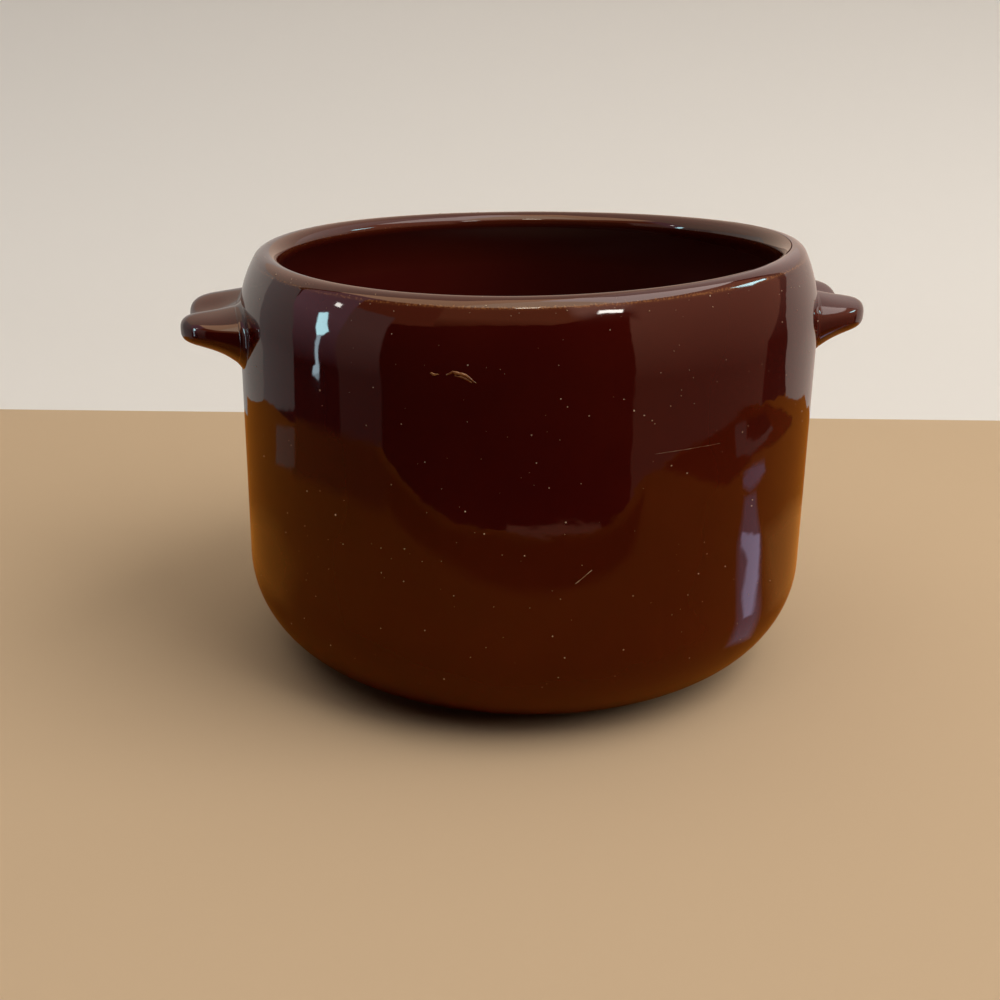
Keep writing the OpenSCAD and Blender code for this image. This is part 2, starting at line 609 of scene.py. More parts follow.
@dataclass(frozen=True)
class GlazeFlow:
    """The way a glaze varies over a surface: its colour, its gloss and its ripple."""

    cloud_range: Span = (0.35, 0.7)
    run_scale: float = 160.0
    run_squash: float = 0.08
    run_range: Span = (0.55, 0.8)
    run_warmth: float = 0.35
    amber_share: float = 0.3
    grain_scale: float = 1800.0
    grain_strength: float = 1.8
    patch_range: Span = (0.5, 0.85)
    smear_scale: float = 55.0
    smear_range: Span = (0.35, 0.7)

    def make(self) -> bpy.types.NodeTree:
        """Makes the shader node group.

        Returns:
            The group.
        """
        inputs = {Socket.COLOUR: ("Deep Color", "Warm Color", "Break Color"),
                  Socket.NUMBER: ("Thin", "Cloud Scale", "Ripple Scale", "Gloss Low", "Gloss High")}
        outputs = {Socket.COLOUR: ("Color",), Socket.NUMBER: ("Roughness", "Height")}
        tree = new_group("glaze_flow", "ShaderNodeTree", inputs, outputs)
        build = TreeBuilder(tree)
        given = build.add("NodeGroupInput").outputs
        place = build.place()
        clouds = build.noise(place, given["Cloud Scale"], detail=3.0)
        squash = (1.0, 1.0, self.run_squash)
        drawn = build.add("ShaderNodeMapping", {"Vector": place, "Scale": squash}).outputs[0]
        runs = build.noise(drawn, self.run_scale, detail=2.0, seed=3.0)
        warmth = build.math("ADD", build.ramp(clouds, *self.cloud_range),
                            build.ramp(runs, *self.run_range, 0.0, self.run_warmth))
        body = build.mix(warmth, given["Deep Color"], given["Warm Color"])
        amber = build.mix(build.product(given["Thin"], self.amber_share), body, given["Break Color"])
        grain = build.math("SUBTRACT", build.noise(place, self.grain_scale, detail=1.0, seed=7.0), 0.5)
        patchy = build.math("MULTIPLY_ADD", grain, self.grain_strength, given["Thin"])
        colour = build.mix(build.ramp(patchy, *self.patch_range), amber, given["Break Color"])
        smear = build.noise(place, self.smear_scale, detail=4.0, seed=11.0)
        gloss = build.ramp(smear, *self.smear_range, given["Gloss Low"], given["Gloss High"])
        swell = build.noise(place, given["Ripple Scale"], detail=2.0, seed=5.0)
        build.add("NodeGroupOutput", {"Color": colour, "Roughness": gloss, "Height": swell})
        return tree


@dataclass(frozen=True)
class DryClay:
    """Bare fired clay: its colour and the wandering edge where the glaze was wiped off."""

    wander_scale: float = 130.0
    wander: float = 0.0012
    edge: float = 0.00015
    grain_scale: float = 900.0
    grain_range: Span = (0.4, 0.68)

    def make(self) -> bpy.types.NodeTree:
        """Makes the shader node group.

        Returns:
            The group.
        """
        inputs = {Socket.COLOUR: ("Clay Color", "Fleck Color"), Socket.NUMBER: ("Wiped Height",)}
        outputs = {Socket.COLOUR: ("Color",), Socket.NUMBER: ("Bare",)}
        tree = new_group("dry_clay", "ShaderNodeTree", inputs, outputs)
        build = TreeBuilder(tree)
        given = build.add("NodeGroupInput").outputs
        place = build.place()
        lowest = build.math("SUBTRACT", given["Wiped Height"], self.wander / 2)
        noise_here = build.noise(place, self.wander_scale, detail=3.0, seed=2.0)
        line = build.math("MULTIPLY_ADD", noise_here, self.wander, lowest)
        bare = build.ramp(build.math("SUBTRACT", line, build.axes(place)["Z"]), 0.0, self.edge)
        grain = build.noise(place, self.grain_scale, detail=4.0, roughness=0.7, seed=4.0)
        colour = build.mix(build.ramp(grain, *self.grain_range), given["Clay Color"], given["Fleck Color"])
        build.add("NodeGroupOutput", {"Color": colour, "Bare": bare})
        return tree


@dataclass(frozen=True)
class GlazeFinish:
    """A glossy iron-brown glaze over stoneware."""

    name: str
    deep: Colour = (0.055, 0.0024, 0.0011)
    warm: Colour = (0.066, 0.0042, 0.0015)
    thin: Colour = (0.270, 0.1000, 0.0300)
    cloud_scale: float = 24.0
    ripple_scale: float = 150.0
    ripple_height: float = 0.000032
    gloss_low: float = 0.025
    gloss_high: float = 0.055
    ior: float = 1.55
    dry_foot: bool = False
    clay: Colour = (0.46, 0.33, 0.21)
    fleck: Colour = (0.30, 0.19, 0.11)
    clay_roughness: float = 0.85
    wiped_height: float = 0.0011
    inside_roughness: float = 0.0
    inside_radii: Span = (0.0775, 0.0832)
    inside_bend: Span = (0.016, 0.020)
    inside_heights: Span = (0.0095, 0.125)
    inside_edge: float = 0.001
    floor_edge: float = 0.0005
    lip_edge: float = 0.004

    def inside(self, build: TreeBuilder) -> bpy.types.NodeSocket:
        """A mask of the pot's inner wall and floor, where the glaze is duller.

        Args:
            build: The material's tree.

        Returns:
            The mask: 1 inside and 0 elsewhere.
        """
        axes = build.axes(build.place())
        square = build.math("ADD", build.product(axes["X"], axes["X"]), build.product(axes["Y"], axes["Y"]))
        limit = build.ramp(axes["Z"], *self.inside_bend, *self.inside_radii)
        depth = build.math("SUBTRACT", limit, build.math("SQRT", square))
        low, high = self.inside_heights
        above = build.ramp(axes["Z"], low, low + self.floor_edge)
        below = build.ramp(axes["Z"], high - self.lip_edge, high, 1.0, 0.0)
        return build.product(build.ramp(depth, 0.0, self.inside_edge), build.product(above, below))

    def make(self, flow: bpy.types.NodeTree, clay: bpy.types.NodeTree) -> bpy.types.Material:
        """Makes the material.

        Args:
            flow: The glaze_flow group.
            clay: The dry_clay group.

        Returns:
            The material.
        """
        material, build, shader = new_material(self.name)
        thin = build.add("ShaderNodeAttribute", attribute_name=THIN_ATTRIBUTE).outputs["Fac"]
        glaze = build.add("ShaderNodeGroup", {
            "Deep Color": self.deep, "Warm Color": self.warm, "Break Color": self.thin, "Thin": thin,
            "Cloud Scale": self.cloud_scale, "Ripple Scale": self.ripple_scale,
            "Gloss Low": self.gloss_low, "Gloss High": self.gloss_high}, node_tree=flow).outputs
        colour, roughness = glaze["Color"], glaze["Roughness"]
        if self.dry_foot:
            foot = build.add("ShaderNodeGroup", {
                "Clay Color": self.clay, "Fleck Color": self.fleck,
                "Wiped Height": self.wiped_height}, node_tree=clay).outputs
            colour = build.mix(foot["Bare"], colour, foot["Color"])
            roughness = build.blend(foot["Bare"], roughness, self.clay_roughness)
        if self.inside_roughness:
            roughness = build.blend(self.inside(build), roughness, self.inside_roughness)
        ripple = {"Height": glaze["Height"], "Distance": self.ripple_height}
        bump = build.add("ShaderNodeBump", ripple).outputs[0]
        build.feed_all(shader, {"Base Color": colour, "Roughness": roughness, "IOR": self.ior,
                                "Normal": bump})
        return material


@dataclass(frozen=True)
class GritFinish:
    """Pale kiln grit that stuck in the glaze."""

    name: str = "kiln_grit"
    pale: Colour = (0.62, 0.47, 0.33)
    dark: Colour = (0.30, 0.17, 0.09)
    roughness: float = 0.45
    change_scale: float = 420.0
    change_range: Span = (0.4, 0.6)

    def make(self) -> bpy.types.Material:
        """Makes the material, whose colour changes from grain to grain.

        Returns:
            The material.
        """
        material, build, shader = new_material(self.name)
        change = build.ramp(build.noise(build.place(), self.change_scale, detail=1.0), *self.change_range)
        build.feed_all(shader, {"Base Color": build.mix(change, self.pale, self.dark),
                                "Roughness": self.roughness})
        return material


@dataclass(frozen=True)
class StagePaint:
    """A plain paint for the stage, with a separate painted tone for its reflection in the glaze."""

    name: str
    colour: Colour
    mirrored: Colour
    roughness: float = 0.5
    glow: float = 0.0
    far_glow: float = 0.75
    far_from: Span = (1.5, 2.3)
    sheen: float = 0.0

    def make(self) -> bpy.types.Material:
        """Makes the material, whose glow only the camera sees and makes up for the lamps' falling off.

        Returns:
            The material.
        """
        material, build, shader = new_material(self.name)
        rays = build.add("ShaderNodeLightPath").outputs
        away = build.add("ShaderNodeVectorMath", {"Vector": build.place()}, operation="LENGTH")
        glow = build.ramp(away.outputs["Value"], *self.far_from, self.glow, self.far_glow)
        # Glossy rays see the mirrored colour: a painted reflection tone, not the paint's own
        build.feed_all(shader, {
            "Base Color": build.mix(rays["Is Glossy Ray"], self.colour, self.mirrored),
            "Roughness": self.roughness, "Specular IOR Level": self.sheen, "Emission Color": self.colour,
            "Emission Strength": build.product(rays["Is Camera Ray"], glow)})
        return material


# The pot body


@dataclass(frozen=True)
class ProfilePoint:
    """A point of the pot's section: radius, height and how thin the glaze is there."""

    r: float
    z: float
    thin: float = 0.0


@dataclass(frozen=True)
class ThinEdge:
    """An edge where the glaze runs thin, at a share of an arc of the section."""

    strength: float
    place: float
    width: float

    def at(self, share: float) -> float:
        """How thin the glaze is at a share of the arc."""
        return self.strength * math.exp(-((share - self.place) / self.width) ** 2)


def profile_line(start: Span, end: Span, step: float) -> list[ProfilePoint]:
    """Points along a straight stretch of the section, without its end.

    Args:
        start: Radius and height at the start.
        end: Radius and height at the end.
        step: Greatest distance between points.

    Returns:
        The points.
    """
    count = max(1, math.ceil(math.dist(start, end) / step))
    (r, z), (end_r, end_z) = start, end
    return [ProfilePoint(r + (end_r - r) * (k / count), z + (end_z - z) * (k / count)) for k in range(count)]


def profile_arc(centre: Span, radius: float, start: float, end: float, step: float,
                thin: Callable[[float], float] = lambda share: 0.0) -> list[ProfilePoint]:
    """Points along an arc of the section, without its end.

    Args:
        centre: Radius and height of the arc's centre.
        radius: The arc's own radius.
        start: Angle at the start, in radians.
        end: Angle at the end, in radians.
        step: Greatest distance between points.
        thin: How thin the glaze is at a share of the arc.

    Returns:
        The points.
    """
    count = max(2, math.ceil(abs(end - start) * radius / step))
    points = []
    for k in range(count):
        angle = start + (end - start) * k / count
        r, z = centre[0] + radius * math.cos(angle), centre[1] + radius * math.sin(angle)
        points.append(ProfilePoint(r, z, thin(k / count)))
    return points


@dataclass
class PotBody:
    """The crock: its section turned round the axis, with the slow waves of a hand-dipped glaze."""

    shape: PotShape
    segments: int = 384
    wave_height: float = 0.00007
    wave_scale: float = 34.0
    seed: float = 4.0
    thin_at_back: float = 0.45
    fine_step: float = 0.00035
    bend_step: float = 0.0007
    wall_step: float = 0.0021
    flat_step: float = 0.006
    outer_edge: ThinEdge = ThinEdge(0.62, 0.0, 0.045)
    inner_edge: ThinEdge = ThinEdge(0.50, 0.80, 0.09)
    shoulder_edge: ThinEdge = ThinEdge(0.72, 1.0, 0.02)
    lip_thin: float = 0.10
    neck_thin: float = 0.12

    def lip_thinness(self, share: float) -> float:
        """How thin the glaze is round the lip, from its outer edge to its inner edge."""
        return self.outer_edge.at(share) + self.inner_edge.at(share) + self.lip_thin

    def section(self) -> list[ProfilePoint]:
        """The section from the axis below, round the outside and the lip, to the axis inside.

        Returns:
            The section's points in order.
        """
        pot = self.shape
        quarter = math.pi / 2
        heel_centre = (pot.radius - pot.heel, pot.foot_height + pot.heel)
        foot_out = heel_centre[0] - pot.foot_step
        foot_in = foot_out - pot.foot_width
        edge = pot.foot_edge
        hollow = pot.radius - pot.wall
        floor_top = pot.foot_height + pot.floor
        corner = (hollow - pot.inner_heel, floor_top + pot.inner_heel)
        start = pot.shoulder_centre[1]
        inner = pot.shoulder - pot.lip
        return [
            *profile_line((0.0, pot.foot_height), (foot_in, pot.foot_height), self.flat_step),
            *profile_line((foot_in, pot.foot_height), (foot_in, edge), edge),
            *profile_arc((foot_in + edge, edge), edge, 2 * quarter, 3 * quarter, edge / 3),
            *profile_line((foot_in + edge, 0.0), (foot_out - edge, 0.0), self.wall_step),
            *profile_arc((foot_out - edge, edge), edge, 3 * quarter, 4 * quarter, edge / 3),
            *profile_line((foot_out, edge), (foot_out, pot.foot_height), edge),
            *profile_line((foot_out, pot.foot_height), heel_centre[:1] + (pot.foot_height,), self.fine_step),
            *profile_arc(heel_centre, pot.heel, -quarter, 0.0, self.wall_step),
            *profile_line((pot.radius, heel_centre[1]), (pot.radius, start), self.wall_step),
            *profile_arc(pot.shoulder_centre, pot.shoulder + pot.lip, 0.0, pot.bend, self.bend_step,
                         self.shoulder_edge.at),
            *profile_arc(pot.lip_centre, pot.lip, pot.bend, pot.bend + math.pi, self.fine_step,
                         self.lip_thinness),
            *profile_arc(pot.shoulder_centre, inner, pot.bend, 0.0, self.bend_step,
                         lambda share: self.neck_thin),
            *profile_line((hollow, start), (hollow, corner[1]), 2 * self.wall_step),
            *profile_arc(corner, pot.inner_heel, 0.0, -quarter, self.wall_step),
            *profile_line((corner[0], floor_top), (0.0, floor_top), self.flat_step),
            ProfilePoint(0.0, floor_top),
        ]

    def section_mesh(self) -> bpy.types.Mesh:
        """The section as a row of points in the XZ plane, which carry the glaze's thinness.

        Returns:
            The mesh of points.
        """
        section = self.section()
        mesh = bpy.data.meshes.new("pot_section")
        mesh.from_pydata([(point.r, 0.0, point.z) for point in section], [], [])
        thin = mesh.attributes.new(THIN_ATTRIBUTE, "FLOAT", "POINT")
        for value, point in zip(thin.data, section):
            value.value = point.thin
        return mesh

    @staticmethod
    def wheel_tree() -> bpy.types.NodeTree:
        """The Geometry Nodes tree that throws the pot: it turns a section round the Z axis.

        Returns:
            The tree.
        """
        inputs = {Socket.GEOMETRY: ("Section",), Socket.COUNT: ("Segments",), Socket.VECTOR: ("Lean",),
                  Socket.NUMBER: ("Wave Height", "Wave Scale", "Seed", "Saddle Along", "Saddle Across",
                                  "Lean From", "Lean Power", "Height", "Thin At Back"),
                  Socket.MATERIAL: ("Glaze",)}
        tree = new_group("throw_pot", "GeometryNodeTree", inputs, {Socket.GEOMETRY: ("Pot",)})
        build = TreeBuilder(tree)
        given = build.add("NodeGroupInput").outputs
        section = given["Section"]
        rows = build.add("GeometryNodeAttributeDomainSize", {"Geometry": section}).outputs["Point Count"]
        columns = build.math("ADD", given["Segments"], 1.0)
        sheet = build.add("GeometryNodeMeshGrid", {"Size X": 1.0, "Size Y": 1.0, "Vertices X": rows,
                                                   "Vertices Y": columns}).outputs["Mesh"]
        index = build.add("GeometryNodeInputIndex").outputs[0]
        row = build.math("FLOOR", build.math("DIVIDE", build.math("ADD", index, 0.5), columns))
        column = build.math("SUBTRACT", index, build.product(row, columns))
        turn = build.product(build.math("DIVIDE", column, given["Segments"]), math.tau)
        here = build.add("GeometryNodeInputPosition").outputs[0]
        thin_here = build.add("GeometryNodeInputNamedAttribute", {"Name": THIN_ATTRIBUTE},
                              data_type="FLOAT").outputs[0]
        point, thin = (
            build.add("GeometryNodeSampleIndex", {"Geometry": section, "Value": value, "Index": row},
                      data_type=kind, domain="POINT").outputs[0]
            for value, kind in ((here, "FLOAT_VECTOR"), (thin_here, "FLOAT")))
        kept = build.ramp(build.math("SINE", turn), -1.0, 1.0, 1.0, given["Thin At Back"], smooth=False)
        marked = build.add("GeometryNodeStoreNamedAttribute", {
            "Geometry": sheet, "Name": THIN_ATTRIBUTE, "Value": build.product(thin, kept)},
            data_type="FLOAT", domain="POINT").outputs[0]
        reach = build.axes(point)
        around = build.add("ShaderNodeCombineXYZ", {
            "X": build.product(reach["X"], build.math("COSINE", turn)),
            "Y": build.product(reach["X"], build.math("SINE", turn)), "Z": reach["Z"]}).outputs[0]
        turned = build.add("GeometryNodeSetPosition", {"Geometry": marked, "Position": around}).outputs[0]
        closed = build.add("GeometryNodeMergeByDistance", {
            "Geometry": turned, "Distance": MERGE_DISTANCE}).outputs[0]
        faced = build.add("GeometryNodeFlipFaces", {"Mesh": closed}).outputs[0]
        normal = build.add("GeometryNodeInputNormal").outputs[0]
        wave = build.noise(here, given["Wave Scale"], detail=2.0, seed=given["Seed"])
        wave = build.product(build.math("SUBTRACT", wave, 0.5), 2.0)
        waves = build.add("ShaderNodeVectorMath", {
            "Vector": normal, "Scale": build.product(wave, given["Wave Height"])},
            operation="SCALE").outputs[0]
        wavy = build.add("GeometryNodeSetPosition", {"Geometry": faced, "Offset": waves}).outputs[0]
        spot = build.axes(here)
        share = build.ramp(spot["Z"], given["Lean From"], given["Height"], smooth=False)
        slope = build.add("ShaderNodeVectorMath", {"Vector": here, "Vector_001": given["Lean"]},
                          operation="DOT_PRODUCT").outputs["Value"]
        along = build.math("SUBTRACT", build.product(spot["X"], spot["X"]),
                           build.product(spot["Y"], spot["Y"]))
        across = build.product(build.product(spot["X"], spot["Y"]), 2.0)
        bowed = build.math("MULTIPLY_ADD", along, given["Saddle Along"], slope)
        warped = build.math("MULTIPLY_ADD", across, given["Saddle Across"], bowed)
        sink = build.product(build.math("POWER", share, given["Lean Power"]), warped)
        drop = build.add("ShaderNodeCombineXYZ", {"Z": sink}).outputs[0]
        leaned = build.add("GeometryNodeSetPosition", {"Geometry": wavy, "Offset": drop}).outputs[0]
        build.end_tree("Pot", leaned, given["Glaze"])
        return tree

    def build(self, glaze: bpy.types.Material) -> bpy.types.Object:
        """Throws the pot.

        Args:
            glaze: Its material.

        Returns:
            The piece.
        """
        piece = new_piece("pot_body_glazed", self.section_mesh())
        run_nodes(piece, self.wheel_tree(), {
            "Segments": self.segments, "Wave Height": self.wave_height, "Wave Scale": self.wave_scale,
            "Seed": self.seed, "Lean": (*self.shape.lean, 0.0), "Saddle Along": self.shape.saddle[0],
            "Saddle Across": self.shape.saddle[1], "Lean From": self.shape.lean_from,
            "Lean Power": self.shape.lean_power, "Height": self.shape.height,
            "Thin At Back": self.thin_at_back, "Glaze": glaze})
        return piece

    def dress(self, piece: bpy.types.Object) -> None:
        """Ties the piece to the pot body's node.

        Args:
            piece: The piece.
        """
        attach(piece, BODY)
        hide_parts("pot_body")


# The lugs and their slip joints


@dataclass
class LugHandle:
    """One pressed two-lobed lug."""

    side: Side
    shape: LugShape
    turns: int = 160
    rings: int = 64
    seat_rings: int = 6
    wave_height: float = 0.00006
    wave_scale: float = 60.0

    def finished(self, point: Vector) -> Vector:
        """Waves a point a little, turns it to its side and leans it with the pot."""
        wave = noise.noise_vector(point * self.wave_scale) * self.wave_height
        return self.shape.pot.leaned(self.side.turn(self.shape.set_back) @ (point + wave))

    def build(self, glaze: bpy.types.Material) -> bpy.types.Object:
        """Presses the lug.

        Args:
            glaze: Its material.

        Returns:
            The piece.
        """
        lug = self.shape
        angles = [math.tau * i / self.turns for i in range(self.turns)]
        rings = []
        for k in range(1, self.seat_rings):
            spots = [lug.root(turn, share=k / self.seat_rings) for turn in angles]
            rings.append([lug.pot.off_wall(side, z, lug.slip) for side, z in spots])
        for k in range(self.rings):
            lift = math.pi / 4 * (1 - math.cos(math.pi * k / self.rings))
            rings.append([lug.point(turn, lift) for turn in angles])
        rings = [[self.finished(point) for point in ring] for ring in rings]
        first = self.finished(lug.pot.off_wall(0.0, lug.middle, lug.slip))
        last = self.finished(lug.point(0.0, math.pi / 2))
        return shell_piece(f"{self.side.word}_lug_glazed", [ring_shell(first, rings, last)], glaze)

    def dress(self, piece: bpy.types.Object) -> None:
        """Ties the piece to the root body and hides the imported lug.

        Args:
            piece: The piece.
        """
        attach(piece, BODY)
        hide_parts(f"{self.side.word}_lug")


@dataclass
class SlipJoint:
    """The layer of slip under one lug, with the fillet smoothed round its root."""

    side: Side
    shape: LugShape
    turns: int = 160
    fillet_steps: int = 10
    seat_rings: int = 6
    sunk: float = 0.0002

    def fillet_point(self, turn: float, share: float) -> Vector:
        """A point of the fillet, a hollow curve from the wall to the lug.

        Args:
            turn: Direction round the lug, in radians.
            share: From 0 on the wall to 1 on the lug.

        Returns:
            The point.
        """
        lug = self.shape
        side, z = lug.root(turn, spread=lug.fillet)
        low = lug.pot.off_wall(side, z, -self.sunk)
        corner = lug.point(turn, 0.0)
        high = lug.point(turn, lug.fillet_climb)
        return low * (1 - share) ** 2 + corner * (2 * share * (1 - share)) + high * share ** 2

    def build(self, glaze: bpy.types.Material) -> bpy.types.Object:
        """Lays the slip.

        Args:
            glaze: Its material.

        Returns:
            The piece.
        """
        lug = self.shape
        angles = [math.tau * i / self.turns for i in range(self.turns)]
        shares = [k / self.seat_rings for k in range(1, self.seat_rings + 1)]

        def seat(share: float, off: float) -> Ring:
            """A ring on the wall under the lug."""
            spots = [lug.root(turn, share=share) for turn in angles]
            return [lug.pot.off_wall(side, z, off) for side, z in spots]

        rings = [seat(share, -self.sunk) for share in shares]
        rings += [[self.fillet_point(turn, k / self.fillet_steps) for turn in angles]
                  for k in range(self.fillet_steps + 1)]
        rings += [seat(share, lug.slip) for share in reversed(shares)]
        place = self.side.turn(lug.set_back)
        rings = [[lug.pot.leaned(place @ point) for point in ring] for ring in rings]
        first, last = (lug.pot.leaned(place @ lug.pot.off_wall(0.0, lug.middle, off))
                       for off in (-self.sunk, lug.slip))
        return shell_piece(f"{self.side.word}_slip_joint_glazed", [ring_shell(first, rings, last)], glaze)

    def dress(self, piece: bpy.types.Object) -> None:
        """Ties the piece to the root body and hides the imported slip joint.

        Args:
            piece: The piece.
        """
        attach(piece, BODY)
        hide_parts(f"{self.side.word}_slip_joint")


# Marks that firing and use left in the glaze


@dataclass(frozen=True)
class WallMark:
    """A raised line on the wall through points of angle, in degrees, and height."""

    path: tuple[Span, ...]
    width: float
    height: float
    stations: int = 24
    sides: int = 8
    wander: float = 0.0
    wander_scale: float = 1500.0
    swell: float = 0.8
    swell_scale: float = 900.0
    taper_power: float = 0.5
    probe: float = 0.001

    def spot(self, share: float) -> Span:
        """A place on the path.

        Args:
            share: From 0 at the path's start to 1 at its end.

        Returns:
            Angle in radians and height.
        """
        place = share * (len(self.path) - 1)
        step = min(int(place), len(self.path) - 2)
        (turn, z), (next_turn, next_z) = self.path[step], self.path[step + 1]
        part = place - step
        return math.radians(turn + (next_turn - turn) * part), z + (next_z - z) * part

    def shell(self, pot: PotShape) -> Shell:
        """The line as a closed welt, half sunk in the wall and tapered at both ends.

        Args:
            pot: The pot that it is on.

        Returns:
            The welt's points and faces.
        """
        middles = [pot.on_wall(*self.spot(k / self.stations), 0.0) for k in range(self.stations + 1)]
        middles = [middle + noise.noise_vector(middle * self.wander_scale) * self.wander
                   for middle in middles]
        rings = []
        for k in range(1, self.stations):
            turn, z = self.spot(k / self.stations)
            outward = (pot.on_wall(turn, z, self.probe) - middles[k]).normalized()
            along = (middles[k + 1] - middles[k - 1]).normalized()
            across = outward.cross(along)
            share = math.sin(math.pi * k / self.stations) ** self.taper_power
            share *= 1 + self.swell * noise.noise(middles[k] * self.swell_scale)
            ring = []
            for i in range(self.sides):
                angle = math.tau * i / self.sides
                ring.append(middles[k] + across * (share * self.width / 2 * math.cos(angle))
                            + outward * (share * self.height * math.sin(angle)))
            rings.append(ring)
        return ring_shell(middles[0], rings, middles[-1])


@dataclass
class GlazeMarks:
    """Welts or scratches in the glaze, as one piece."""

    name: str
    shape: PotShape
    marks: tuple[WallMark, ...]

    def build(self, finish: bpy.types.Material) -> bpy.types.Object:
        """Draws the marks.

        Args:
            finish: Their material.

        Returns:
            The piece.
        """
        return shell_piece(self.name, [mark.shell(self.shape) for mark in self.marks], finish)

    def dress(self, piece: bpy.types.Object) -> None:
        """Ties the marks to the pot."""
        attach(piece, BODY)


@dataclass
class KilnGrit:
    """Grains of grit that melted into the glaze in the kiln, most of them along the lip's edge."""

    shape: PotShape
    ground: bpy.types.Object
    seed: int = 11
    wall_density: float = 8000.0
    lip_density: float = 90000.0
    lip_band: float = 0.0011
    lowest: float = 0.020
    least: float = 0.00008
    greatest: float = 0.00028
    flatness: float = 0.55
    size_power: float = 2.5

    @staticmethod
    def scatter_tree() -> bpy.types.NodeTree:
        """The Geometry Nodes tree that scatters grains over the outside of the pot.

        Returns:
            The tree.
        """
        inputs = {Socket.GEOMETRY: ("Surface",), Socket.COUNT: ("Seed",),
                  Socket.NUMBER: ("Wall Density", "Lip Density", "Lip Low", "Lip High", "Lowest",
                                  "Least Size", "Greatest Size", "Size Power", "Flatness"),
                  Socket.MATERIAL: ("Grit",)}
        tree = new_group("scatter_grit", "GeometryNodeTree", inputs, {Socket.GEOMETRY: ("Grains",)})
        build = TreeBuilder(tree)
        given = build.add("NodeGroupInput").outputs
        here = build.add("GeometryNodeInputPosition").outputs[0]
        normal = build.add("GeometryNodeInputNormal").outputs[0]
        level = build.add("ShaderNodeVectorMath", {"Vector": here, "Vector_001": (1.0, 1.0, 0.0)},
                          operation="MULTIPLY").outputs[0]
        facing = build.add("ShaderNodeVectorMath", {"Vector": normal, "Vector_001": level},
                           operation="DOT_PRODUCT").outputs["Value"]
        height = build.axes(here)["Z"]
        outside = build.math("GREATER_THAN", facing, 0.0)
        above = build.product(outside, build.math("GREATER_THAN", height, given["Lowest"]))
        lip = build.product(build.math("GREATER_THAN", height, given["Lip Low"]),
                            build.math("LESS_THAN", height, given["Lip High"]))
        density = build.math("MULTIPLY_ADD", lip, given["Lip Density"], given["Wall Density"])
        spread = build.add("GeometryNodeDistributePointsOnFaces", {
            "Mesh": given["Surface"], "Density": build.product(above, density), "Seed": given["Seed"]})
        grain = build.add("GeometryNodeMeshIcoSphere", {"Radius": 1.0, "Subdivisions": 1}).outputs[0]
        chance = build.add("FunctionNodeRandomValue", {"Seed": given["Seed"]}, data_type="FLOAT").outputs[1]
        share = build.math("POWER", chance, given["Size Power"])
        growth = build.math("SUBTRACT", given["Greatest Size"], given["Least Size"])
        size = build.math("MULTIPLY_ADD", share, growth, given["Least Size"])
        scale = build.add("ShaderNodeCombineXYZ", {
            "X": size, "Y": size, "Z": build.product(size, given["Flatness"])}).outputs[0]
        grains = build.add("GeometryNodeInstanceOnPoints", {
            "Points": spread.outputs["Points"], "Instance": grain, "Rotation": spread.outputs["Rotation"],
            "Scale": scale}).outputs[0]
        build.end_tree("Grains", grains, given["Grit"])
        return tree

    def build(self, grit: bpy.types.Material) -> bpy.types.Object:
        """Scatters the grit.

        Args:
            grit: Its material.

        Returns:
            The piece.
        """
        edge = self.shape.lip_centre[1] + self.shape.lip * math.sin(self.shape.bend)
        piece = new_piece("kiln_grit", self.ground.data.copy())
        run_nodes(piece, self.scatter_tree(), {
            "Wall Density": self.wall_density, "Lip Density": self.lip_density,
            "Lip Low": edge - self.lip_band, "Lip High": edge + self.lip_band, "Lowest": self.lowest,
            "Least Size": self.least, "Greatest Size": self.greatest, "Size Power": self.size_power,
            "Flatness": self.flatness, "Seed": self.seed, "Grit": grit})
        return piece

    def dress(self, piece: bpy.types.Object) -> None:
        """Ties the grit to the pot."""
        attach(piece, BODY)


# The stage


@dataclass(frozen=True)
class Softbox:
    """A soft lamp that lights the pot from a direction and isn't mirrored in it."""

    name: str
    azimuth: float
    elevation: float
    distance: float
    width: float
    radiance: float
    colour: Colour = (1.0, 0.95, 0.88)
    aim: Point = (0.0, 0.0, 0.1)

    def build(self) -> None:
        """Hangs the lamp."""
        lamp = bpy.data.lights.new(self.name, "AREA")
        lamp.size = self.width
        lamp.energy = self.radiance * math.pi * self.width ** 2
        lamp.color = self.colour
        piece = bpy.data.objects.new(self.name, lamp)
        bpy.context.scene.collection.objects.link(piece)
        turn, lift = math.radians(self.azimuth), math.radians(self.elevation)
        way = Vector((math.cos(lift) * math.cos(turn), math.cos(lift) * math.sin(turn), math.sin(lift)))
        piece.location = Vector(self.aim) + way * self.distance
        piece.rotation_euler = way.to_track_quat("Z", "Y").to_euler()
        piece.visible_camera = False
        piece.visible_glossy = False


